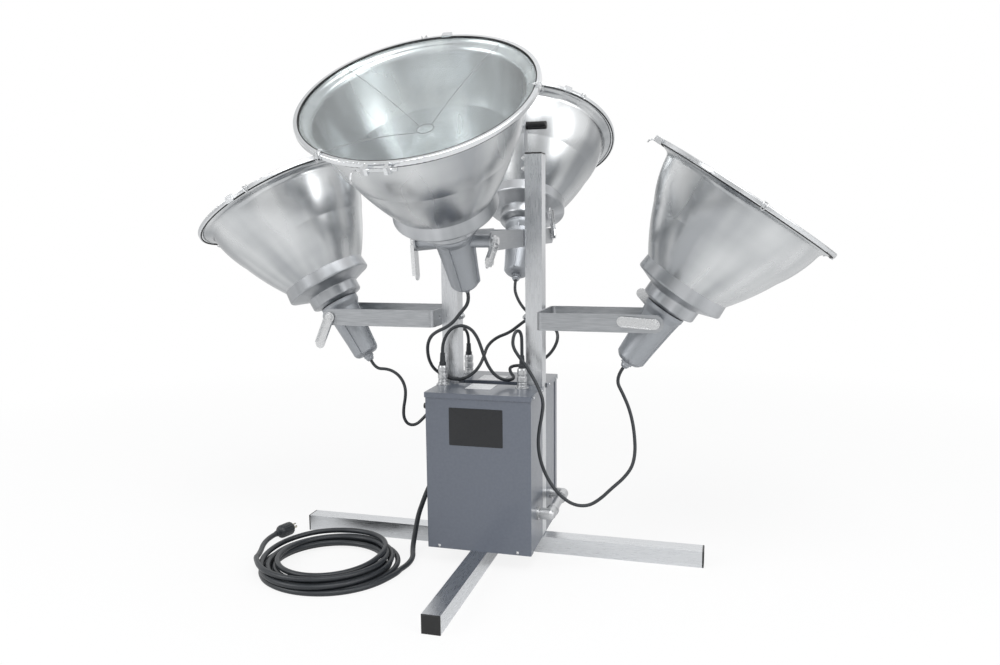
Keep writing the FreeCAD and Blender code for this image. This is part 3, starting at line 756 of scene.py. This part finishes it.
@dataclass
class BellLamp:
    """One lamp with its yoke: where it stands and how it is turned."""

    nodes: dict
    name: str
    turn: float
    web: float
    height: float
    tilt: float
    closure: float
    axis: Axis
    reach: float = 0.337

    @property
    def body(self) -> str:
        """The body that the lamp rides on."""
        return "lamp_" + self.name

    def yoke_place(self) -> Matrix:
        """The yoke's own frame: arms along X, from the stand's middle line."""
        turned = Matrix.Rotation(math.radians(self.turn), 4, "Z")
        return turned @ Matrix.Translation((self.web, 0, self.height))

    def head_place(self) -> Matrix:
        """The lamp's own frame at rest: Z on the reflector's axis, from the pivot."""
        tilted = Matrix.Rotation(math.radians(self.tilt), 4, "Y")
        return self.yoke_place() @ Matrix.Translation((self.reach, 0, 0)) @ tilted

    def build(self) -> None:
        """Dresses the nodes and adds gaskets, guard wires, hooks, bulb and socket."""
        head = self.head_place()
        centre = tuple(head.to_translation())
        turned = (0.0, math.radians(self.tilt), math.radians(self.turn))
        own = (centre, turned)
        # The last colour of each is the colour of its painted reflection streaks.
        spun = SpunAluminium(f"spun_reflector_{self.name}", "#d3d5d6", 1.0, 0.24, *own, 55.0, "#a3a6a9")
        neck = SpunAluminium(f"spun_neck_{self.name}", "#bfc1c4", 1.0, 0.34, *own, 30.0, "#9a9da0")
        for part, finish in (
            ("reflector", spun), ("lamp_neck", neck), ("socket_housing", CASTING), ("lens", CLEAR),
            ("lens_ring", RING), ("tilt_levers", LEVER), ("yoke", BAR[self.axis]),
        ):
            dress(self.nodes, f"{part}_{self.name}", finish)
        self.gaskets(head)
        self.guard_wires(head)
        self.hooks(head)
        self.bulb(head)
        LOG.info("built lamp %s", self.name)

    def gaskets(self, head: Matrix) -> bpy.types.Object:
        """Rubber lips above and below the ring: hoops of radius r + q cos b and height z + 0.9 q sin b."""
        b = np.linspace(0, 2 * np.pi, 12, endpoint=False)
        lips = ((0.2742, 0.4236, 0.0017), (0.2795, 0.4112, 0.0020))
        hoops = (list(zip(r + q * np.cos(b), z + 0.9 * q * np.sin(b))) for r, z, q in lips)
        shape = joined(lathe(hoop, 128, True).at(head) for hoop in hoops)
        return shape.piece(f"ring_gasket_{self.name}", GASKET, self.body, "ring", 60)

    def guard_wires(self, head: Matrix) -> bpy.types.Object:
        """Three sprung wires from the ring to the bulb's nose, each a shallow arc under the glass."""
        t = np.linspace(0, 1, 24)
        r = 0.2695 + (0.020 - 0.2695) * t
        z = 0.4126 - 0.0843 * t + 0.008 * np.sin(np.pi * t)
        wires = []
        for a in np.radians((148.0, 236.0, 326.0)):
            path = np.stack([r * math.cos(a), r * math.sin(a), z], axis=-1)
            wires.append(pipe(path, 0.0009, 8).at(head))
        b = np.linspace(0, 2 * np.pi, 10, endpoint=False)
        eye = lathe(list(zip(0.0205 + 0.0011 * np.cos(b), 0.3285 + 0.0011 * np.sin(b))), 40, True)
        return joined([*wires, eye.at(head)]).piece(f"bulb_guard_{self.name}", DULL, self.body, "ring", 60)

    def hooks(self, head: Matrix) -> bpy.types.Object:
        """Sprung wires that clip the ring to the reflector, and the bent end of the closure's screw."""
        clip = np.array([
            (0.269, 0, 0.4272), (0.276, 0.0035, 0.4282), (0.286, 0.006, 0.427), (0.2905, 0.0062, 0.419),
            (0.29, 0.004, 0.409), (0.287, 0, 0.405), (0.29, -0.004, 0.409), (0.2905, -0.0062, 0.419),
            (0.286, -0.006, 0.427), (0.276, -0.0035, 0.4282), (0.269, 0, 0.4272),
        ])
        hook = np.array([
            (0.296, -0.044, 0.416), (0.2965, -0.05, 0.4158), (0.3, -0.0535, 0.414),
            (0.307, -0.0545, 0.409), (0.312, -0.0545, 0.404), (0.313, -0.0545, 0.396),
        ])
        wires = []
        for line, radius, turns in ((clip, 0.0013, (-32.0, 91.0, 192.0)), (hook, 0.0022, (0.0,))):
            t = np.linspace(0, len(line) - 1, 6 * len(line))
            path = np.stack([np.interp(t, np.arange(len(line)), line[:, k]) for k in range(3)], axis=-1)
            for turn in turns:
                place = head @ Matrix.Rotation(math.radians(self.closure + turn), 4, "Z")
                wires.append(pipe(path, radius, 8).at(place))
        return joined(wires).piece(f"ring_hooks_{self.name}", BRIGHT, self.body, "ring", 60)

    def bulb(self, head: Matrix) -> None:
        """Envelope, arc tube on its frame, screw shell and porcelain socket; they stand for the bulb."""
        outer = [
            (0.0165, -0.006), (0.022, 0.004), (0.0265, 0.016), (0.029, 0.035), (0.031, 0.055), (0.038, 0.078),
            (0.050, 0.103), (0.064, 0.131), (0.077, 0.160), (0.0855, 0.186), (0.088, 0.205), (0.0865, 0.226),
            (0.080, 0.247), (0.068, 0.266), (0.052, 0.281), (0.0425, 0.290), (0.0385, 0.301), (0.034, 0.313),
            (0.025, 0.3215), (0.013, 0.3255), (0.0, 0.3262),
        ]
        shell = lathe([(0.0, -0.006), *outer], 64)
        glass = shell.at(head).piece(f"bulb_envelope_{self.name}", QUARTZ, self.body, "bulb", 60)
        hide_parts(f"bulb_{self.name}")
        s = np.linspace(0, 1, 90)
        thread = 0.0182 + 0.0011 * np.cos(2 * np.pi * s * 7)
        turns = list(zip(thread, -0.052 + 0.042 * s))
        foot = [(0, -0.0575), (0.006, -0.0575), (0.009, -0.054)]
        base = lathe(foot + turns + [(0.0185, -0.008), (0.0172, -0.004), (0, -0.004)], 48)
        base.at(head).piece(f"bulb_base_{self.name}", NICKEL, self.body, "bulb", 60)
        arc = lathe([(0, 0.128), (0.004, 0.1285), (0.0052, 0.142), (0.0105, 0.152), (0.0122, 0.170),
                     (0.0122, 0.196), (0.0105, 0.214), (0.0052, 0.224), (0.004, 0.2375), (0, 0.238)], 32)
        arc.at(head).piece(f"arc_tube_{self.name}", PORCELAIN, self.body, "bulb", 60)
        stem = lathe([(0, 0.0), (0.014, 0.0), (0.010, 0.018), (0.007, 0.045), (0.006, 0.062), (0, 0.062)], 28)
        wires = (
            [(0.005, 0, 0.05), (0.024, 0, 0.078), (0.0245, 0, 0.25), (0.020, 0, 0.288), (0, 0, 0.296)],
            [(-0.005, 0, 0.05), (-0.006, 0, 0.09), (0, 0, 0.118), (0, 0, 0.131)],
            [(0.0245, 0, 0.243), (0.012, 0, 0.243), (0, 0, 0.237)],
        )
        frame = joined(pipe(np.array(wire), 0.0009, 8) for wire in wires)
        (stem + frame).at(head).piece(f"bulb_frame_{self.name}", NICKEL, self.body, "bulb", 60)
        socket = lathe([(0.0215, -0.021), (0.034, -0.0205), (0.036, -0.012), (0.036, 0.008), (0.033, 0.012),
                        (0.0235, 0.012), (0.0215, 0.008)], 48, True)
        socket.at(head).piece(f"lamp_socket_{self.name}", PORCELAIN, self.body, "housing", 40)


def cord_curve(name: str, points: list[Point], diameter: float) -> bpy.types.Object:
    """A cord as one smooth spline through its route.

    Args:
        name: the piece's name.
        points: the route's points in millimetres.
        diameter: the cord's thickness in metres.

    Returns:
        The curve.
    """
    data = bpy.data.curves.new(name, "CURVE")
    data.dimensions = "3D"
    data.bevel_depth = diameter / 2
    data.bevel_resolution = 4
    data.resolution_u = 6
    data.use_fill_caps = True
    spline = data.splines.new("NURBS")
    route = np.array(points, float) / 1000
    spline.points.add(len(route) - 1)
    spline.points.foreach_set("co", np.column_stack([route, np.ones(len(route))]).ravel())
    spline.order_u = 3
    spline.use_endpoint_u = True
    data.materials.append(material(RUBBER))
    made = bpy.data.objects.new(name, data)
    bpy.context.scene.collection.objects.link(made)
    return made


def spline_length(made: bpy.types.Object) -> float:
    """Length of a cord's own spline."""
    return made.data.splines[0].calc_length()


@dataclass
class LampLead:
    """A 10 mm rubber lead from a lamp's gland to its connector on a lid."""

    name: str
    route: list[Point]
    fixed: Point
    moved: Point
    diameter: float = 0.010

    def build(self) -> bpy.types.Object:
        """Returns:
            The tube.
        """
        curve = cord_curve(f"lead_line_{self.name}", self.route, self.diameter)
        tube = bpy.data.meshes.new_from_object(curve)
        curve.data.bevel_depth = 0.0
        line = bpy.data.meshes.new_from_object(curve)
        bpy.data.objects.remove(curve)
        tube.polygons.foreach_set("use_smooth", np.ones(len(tube.polygons), dtype=bool))
        made = bpy.data.objects.new(f"lamp_lead_{self.name}", tube)
        bpy.context.scene.collection.objects.link(made)
        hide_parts(f"lead_{self.name}")
        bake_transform(made)
        return made


@dataclass
class PowerCord:
    """The 16 mm supply cord: over the base arm, seven and a half loose turns on the floor, and the plug."""

    nodes: dict
    diameter: float = 0.016
    centre: tuple[float, float] = (-432.0, -288.0)

    def coil(self) -> list[Point]:
        """Loose clockwise turns: r and z go by a table of laps, and a point is centre + r (cos a, sin a).

        Returns:
            Points in millimetres.
        """
        per = 14
        first, last = math.radians(-3.0), math.radians(198.0 - 360.0 * 8)
        count = int(per * (first - last) / (2 * math.pi))
        a = np.linspace(first, last, count)
        lap = (first - a) / (2 * math.pi)
        key, radius, height = np.array([
            (0.0, 214, 8), (0.25, 191, 8), (0.5, 204, 8), (0.75, 202, 8), (0.92, 206, 8),
            (1.05, 193, 8), (1.25, 173, 8), (1.5, 188, 8), (1.75, 186, 8), (2.0, 178, 8),
            (2.25, 157, 8), (2.5, 172, 8), (2.75, 169, 8), (2.95, 162, 9), (3.1, 156, 16),
            (3.25, 162, 24), (3.5, 156, 22), (3.75, 151, 16), (4.0, 167, 24), (4.12, 174, 24),
            (4.25, 178, 24), (4.5, 180, 24), (4.75, 192, 24), (5.0, 184, 24), (5.25, 194, 24.5),
            (5.42, 199, 24), (5.54, 214, 28), (5.6, 214, 36), (5.7, 198, 40), (5.8, 184, 45),
            (5.9, 170, 51), (6.0, 156, 46), (6.15, 153, 41), (6.25, 157, 41), (6.4, 151, 40),
            (6.5, 152, 37), (6.75, 174, 27), (6.88, 168, 36), (7.0, 174, 39), (7.12, 176, 41),
            (7.25, 182, 41), (7.36, 199, 41), (7.44, 214, 36),
        ]).T
        r = 1.012 * np.interp(lap, key, radius)
        z = np.interp(lap, key, height)
        x = self.centre[0] + r * np.cos(a)
        y = self.centre[1] + r * np.sin(a)
        return list(zip(x, y, z))

    def build(self) -> None:
        run = [
            (-181.9, 100, 190), (-206, 100, 190), (-228, 90, 181), (-242, 70, 160), (-250, 46, 132),
            (-254, 18, 104), (-254, -12, 84), (-250, -42, 62), (-245, -72, 38), (-239, -104, 18),
            (-228, -136, 9), (-214, -170, 8), (-208, -206, 8), (-209, -240, 8), (-216, -270, 8),
        ]
        tail = [
            (-650, -324, 29), (-662, -294, 24), (-676, -262, 21), (-691, -228, 20), (-700, -196, 20),
            (-702, -166, 21), (-699, -137, 21.5),
        ]
        made = cord_curve("supply_cord", run + self.coil() + tail, self.diameter)
        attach(made, "stand")
        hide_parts("power_cord", "power_cord_coil")
        plug = self.plug()
        dress(self.nodes, "cord_gland", CAP)
        LOG.info("supply cord is %.3f m", spline_length(made))

    def plug(self) -> list[bpy.types.Object]:
        """A moulded plug with a ribbed grip and three blades; it stands for the plug node."""
        at = facing((-0.699, -0.137, 0.0215), (0.3, 0.954, 0.0))
        a = np.linspace(0, 2 * np.pi, 96, endpoint=False)
        ribs = 1 + 0.02 * np.cos(18 * a)
        circle = np.stack([np.cos(a) * ribs, np.sin(a) * ribs], axis=-1)
        plain = np.stack([np.cos(a), np.sin(a)], axis=-1)
        neck = [(0, 0), (0.0092, 0), (0.0098, 0.004), (0.0092, 0.0045), (0.0092, 0.0062), (0.0103, 0.0066),
                (0.0103, 0.0105), (0.0097, 0.011), (0.0097, 0.0125), (0.0115, 0.013), (0.016, 0.0155),
                (0, 0.0156)]
        body = [(0, 0.0152), (0.016, 0.0152), (0.0195, 0.019), (0.0208, 0.024), (0.0208, 0.058),
                (0.02, 0.0625), (0.018, 0.065), (0, 0.0655)]
        shape = stack(plain, neck) + stack(circle, body)
        grip = shape.at(at).piece("plug_body", RUBBER, "stand", "boot", 35)
        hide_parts("power_plug")
        rows = [(0.0, 0.065), (1.0, 0.065), (1.0, 0.0835), (0.8, 0.085), (0.0, 0.085)]
        blade = stack(rounded(0.002, 0.008, 0.0006), rows)
        pin = lathe([(0, 0.065), (0.0024, 0.065), (0.0024, 0.084), (0.0012, 0.0868), (0, 0.087)], 16)
        spots = ((blade, -0.0065, 0), (blade, 0.0065, 0), (pin, 0, 0.0085))
        blades = joined(form.at(Matrix.Translation((x, y, 0))) for form, x, y in spots)
        prongs = blades.at(at).piece("plug_blades", NICKEL, "stand", "boot", 35)
        return [grip, prongs]


# Routes of the lamp leads in millimetres, from the gland to the connector, as in the part's source
LEADS = {
    "right": [
        (396.6, 0, 584.9), (372.2, 0, 549.6), (398.6, -10.7, 504), (416.7, -18.4, 465.6),
        (428.9, -27.8, 425.4), (436, -38.1, 384.1), (439.3, -49.7, 342.7), (432.8, -63.7, 302.7),
        (408.9, -79.6, 270.8), (378.1, -94.8, 244.8), (349, -108.2, 216), (314.4, -122.2, 194.7),
        (274.3, -135.4, 198.7), (239.8, -143.4, 222.8), (211.6, -145.2, 255.2), (190.2, -145.2, 292.6),
        (177.8, -150.3, 333.4), (173.6, -157.3, 375.7), (176.1, -156.5, 418.6), (182.4, -145.7, 459.8),
        (183.8, -128, 499), (165.7, -111.2, 533.7), (142.8, -100.1, 568.5), (123, -97, 598),
        (100, -100, 628), (86, -100, 652), (86, -97, 676), (91, -88, 694), (99, -74, 696),
        (103.5, -64, 682), (104, -62, 656), (104, -62, 620.4),
    ],
    "left": [
        (-409.3, 0, 577), (-394.3, 0, 550.5), (-355.7, 0, 551.8), (-326, -1.2, 541.7),
        (-302.7, -4.3, 520.9), (-289.3, -9.9, 493.1), (-288, -17.1, 462.6), (-292.3, -23.8, 432),
        (-291.5, -26.5, 401.2), (-279.1, -21.8, 378.9), (-256.4, -14.3, 376.8), (-234, -9.9, 396.6),
        (-213.9, -5.4, 420.6), (-195.2, 5.2, 443.6), (-182.5, 23.4, 465.9), (-177.2, 40.2, 492),
        (-174.4, 52.9, 520.8), (-171.2, 62.6, 550.7), (-166, 70.9, 580.7), (-159, 78.8, 610.5),
        (-150.8, 88, 639.6), (-142.1, 103.4, 665.1), (-133.1, 127.7, 671.8), (-128, 148, 645.6),
        (-128, 148, 620.4),
    ],
    "front": [
        (0, -258.6, 827.3), (0, -234.7, 795.5), (-31, -234.6, 760.1), (-56, -218, 734),
        (-85.7, -199.2, 715.3), (-117.6, -179.3, 702.1), (-145.9, -157.7, 684.3), (-165, -135.7, 657.2),
        (-174, -113, 626), (-179, -85, 597), (-176, -56, 568), (-156, -33.5, 546), (-121, -32.5, 532),
        (-86, -30, 536), (-61, -16, 552), (-47, 4, 572), (-40.6, 28.1, 597.4), (-35.4, 50.5, 629.5),
        (-8.2, 64.9, 654.2), (28.5, 72.6, 667.3), (59, 82, 690.8), (82.7, 99.6, 710.5),
        (101.1, 122.4, 696.5), (92, 130, 652.3), (92, 130, 620.4),
    ],
    "rear": [
        (0, 273.6, 817.2), (0, 258.3, 791.7), (10.7, 241.6, 769.3), (25.4, 226.4, 748.3),
        (43.7, 212.1, 729.8), (65.1, 197, 715.7), (88.2, 181.1, 705.8), (111, 163.9, 697.4),
        (133, 145.2, 689.9), (154.8, 126, 683.5), (175, 106.2, 675), (182.6, 88.5, 652.8),
        (174.4, 78.6, 626.3), (157.9, 72.6, 602.4), (134.6, 68.4, 584.5), (107.2, 64.8, 573.5),
        (78.3, 60.7, 567.9), (51.4, 51.4, 568.4), (40.8, 31.2, 564.8), (49.4, 11.6, 552.8),
        (67.5, -8.1, 541.5), (57.3, -34.4, 536.9), (30.2, -43.1, 543), (7.5, -45.1, 561.8),
        (-8, -47.1, 587.1), (-18.5, -49, 614.9), (-27, -50.8, 643.4), (-37.5, -52.7, 671.1),
        (-55.1, -54.7, 694.8), (-82.4, -56.7, 705.6), (-110.8, -58.7, 698.3), (-131.4, -60.4, 677.3),
        (-145, -62, 644.2), (-145, -62, 620.4),
    ],
}


# Where each lead stops following the stand, and where it follows its lamp in full, in metres
BENDS = {
    "right": ((0.35, -0.108, 0.216), (0.5057, 0.0217, 0.2809)),
    "left": ((-0.285, 0.0, 0.38), (-0.4056, -0.1005, 0.4805)),
    "front": ((-0.17, -0.12, 0.64), (-0.0908, -0.318, 0.7984)),
    "rear": ((0.15, 0.13, 0.69), (0.0822, 0.2996, 0.8257)),
}


@dataclass
class Studio:
    """A pale floor, soft lamps and the camera at the photograph's place."""

    camera_at: Point = (0.6923, -2.4274, 1.0156)
    yaw: float = 15.48
    pitch: float = 7.63
    roll: float = -0.56
    lens_px: float = 832.73

    def camera(self) -> None:
        """Looks from the fitted place: ahead, right and up are worked out from yaw, pitch and roll."""
        yaw, pitch, roll = (math.radians(v) for v in (self.yaw, self.pitch, self.roll))
        ahead = Vector((-math.sin(yaw) * math.cos(pitch), math.cos(yaw) * math.cos(pitch), -math.sin(pitch)))
        level = Vector((math.cos(yaw), math.sin(yaw), 0.0))
        lift = level.cross(ahead)
        right = level * math.cos(roll) + lift * math.sin(roll)
        up = lift * math.cos(roll) - level * math.sin(roll)
        data = bpy.data.cameras.new("photo_camera")
        data.sensor_fit = "HORIZONTAL"
        data.sensor_width = 36.0
        data.lens = self.lens_px / 1000 * 36.0
        data.clip_end = 60.0
        made = bpy.data.objects.new("photo_camera", data)
        turn = Matrix((right, up, -ahead)).transposed().to_4x4()
        made.matrix_world = Matrix.Translation(self.camera_at) @ turn
        bpy.context.scene.collection.objects.link(made)
        bpy.context.scene.camera = made

    def softbox(self, name: str, at: Point, size: float, watts: float) -> None:
        """A square soft lamp that looks at the middle of the object.

        Args:
            name: the lamp's name.
            at: where it stands.
            size: length of its side.
            watts: its power.
        """
        data = bpy.data.lights.new(name, "AREA")
        data.shape = "SQUARE"
        data.size = size
        data.energy = watts
        made = bpy.data.objects.new(name, data)
        aim = (Vector((0, 0, 0.7)) - Vector(at)).to_track_quat("-Z", "Y")
        made.matrix_world = Matrix.Translation(at) @ aim.to_matrix().to_4x4()
        bpy.context.scene.collection.objects.link(made)

    def rays(self, tree: Tree, *kinds: str) -> Socket:
        """1 for a ray of one of the kinds that the Light Path node names, else 0.

        Args:
            tree: the material's or the world's tree.
            kinds: names such as Camera or Glossy.

        Returns:
            The number's socket.
        """
        path = add(tree, "ShaderNodeLightPath")
        value = path.outputs[f"Is {kinds[0]} Ray"]
        for kind in kinds[1:]:
            links = {0: value, 1: path.outputs[f"Is {kind} Ray"]}
            value = add(tree, "ShaderNodeMath", {"operation": "MAXIMUM"}, links).outputs[0]
        return value

    def floor(self) -> None:
        """A wide pale disc at z = 0 that keeps the object's shadow and fades to white with distance."""
        disc = lathe([(0.0, -0.02), (24.0, -0.02), (24.0, 0.0), (0.0, 0.0)], 96)
        mesh = bpy.data.meshes.new("studio_floor")
        mesh.from_pydata(disc.points.tolist(), [], disc.faces.tolist())
        made = bpy.data.objects.new("studio_floor", mesh)
        bpy.context.scene.collection.objects.link(made)
        paper = bpy.data.materials.new("pale_paper")
        paper.use_nodes = True
        tree = paper.node_tree
        matt = add(tree, "ShaderNodeBsdfDiffuse", {"Color": (0.86, 0.86, 0.86, 1.0)})
        glow = add(tree, "ShaderNodeEmission", {"Color": WHITE, "Strength": 1.0})
        spot = add(tree, "ShaderNodeTexCoord")
        away = add(tree, "ShaderNodeVectorMath", {"operation": "LENGTH"}, {0: spot.outputs["Object"]})
        span = {"From Min": 1.2, "From Max": 3.6, "To Min": 0.86, "To Max": 1.0}
        share = add(tree, "ShaderNodeMapRange", span, {"Value": away.outputs["Value"]})
        plain = add(tree, "ShaderNodeMath", {"operation": "MULTIPLY"})
        tree.links.new(share.outputs[0], plain.inputs[0])
        tree.links.new(self.rays(tree, "Camera", "Transmission"), plain.inputs[1])
        glossy = {0: self.rays(tree, "Glossy")}
        part = add(tree, "ShaderNodeMath", {"operation": "MULTIPLY_ADD", 1: 0.36}, glossy)
        tree.links.new(plain.outputs[0], part.inputs[2])
        links = {0: part.outputs[0], 1: matt.outputs[0], 2: glow.outputs[0]}
        both = add(tree, "ShaderNodeMixShader", None, links)
        tree.links.new(both.outputs[0], tree.nodes["Material Output"].inputs["Surface"])
        mesh.materials.append(paper)

    def world(self) -> None:
        """White where it is seen, a little uneven in reflections like studio walls, and dimmer as a light."""
        made = bpy.data.worlds.new("studio_world")
        bpy.context.scene.world = made
        made.use_nodes = True
        tree = made.node_tree
        dim = tree.nodes["Background"]
        dim.inputs["Color"].default_value = (0.98, 0.99, 1.0, 1.0)
        dim.inputs["Strength"].default_value = 0.55
        spot = add(tree, "ShaderNodeTexCoord").outputs["Generated"]
        wide = add(tree, "ShaderNodeMapping", {"Scale": (1.0, 1.0, 0.4)}, {"Vector": spot})
        cloud = add(tree, "ShaderNodeTexNoise", {"Scale": 1.7, "Detail": 1.0}, {"Vector": wide.outputs[0]})
        span = {"From Min": 0.36, "From Max": 0.58, "To Min": 0.66, "To Max": 1.12}
        level = add(tree, "ShaderNodeMapRange", span, {"Value": cloud.outputs[0]})
        walls = add(tree, "ShaderNodeBackground", {"Color": WHITE}, {"Strength": level.outputs[0]})
        white = add(tree, "ShaderNodeBackground", {"Color": WHITE, "Strength": 1.0})
        links = {0: self.rays(tree, "Glossy"), 1: dim.outputs[0], 2: walls.outputs[0]}
        inner = add(tree, "ShaderNodeMixShader", None, links)
        links = {0: self.rays(tree, "Camera", "Transmission"), 1: inner.outputs[0], 2: white.outputs[0]}
        both = add(tree, "ShaderNodeMixShader", None, links)
        tree.links.new(both.outputs[0], tree.nodes["World Output"].inputs["Surface"])

    def build(self) -> None:
        """Sets the whole studio up."""
        self.camera()
        self.floor()
        self.world()
        self.softbox("top_softbox", (1.0, -2.0, 4.2), 2.6, 100.0)
        self.softbox("left_softbox", (-3.4, -2.8, 2.6), 2.4, 75.0)
        self.softbox("right_softbox", (3.6, -1.6, 2.2), 2.0, 35.0)
        bpy.context.scene.view_settings.view_transform = "Standard"


def main() -> None:
    """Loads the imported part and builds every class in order."""
    logging.basicConfig(level=logging.INFO, format="%(name)s: %(message)s")
    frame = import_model()
    nodes = frame["nodes"]
    Studio().build()
    TubeStand(nodes).build()
    BallastBoxes(nodes).build()
    for name, turn, web, height, tilt, closure, axis in (
        ("right", 0.0, 0.1572, 0.727, 34.5, 188.0, Axis.X),
        ("left", 180.0, 0.1572, 0.727, 29.5, 268.0, Axis.X),
        ("front", -90.0, 0.0254, 0.965, 37.0, 0.0, Axis.Y),
        ("rear", 90.0, 0.0254, 0.965, 31.0, 34.0, Axis.Y),
    ):
        BellLamp(nodes, name, turn, web, height, tilt, closure, axis).build()
    for name, route in LEADS.items():
        LampLead(name, route, *BENDS[name]).build()
    PowerCord(nodes).build()


if __name__ == "__main__":
    main()
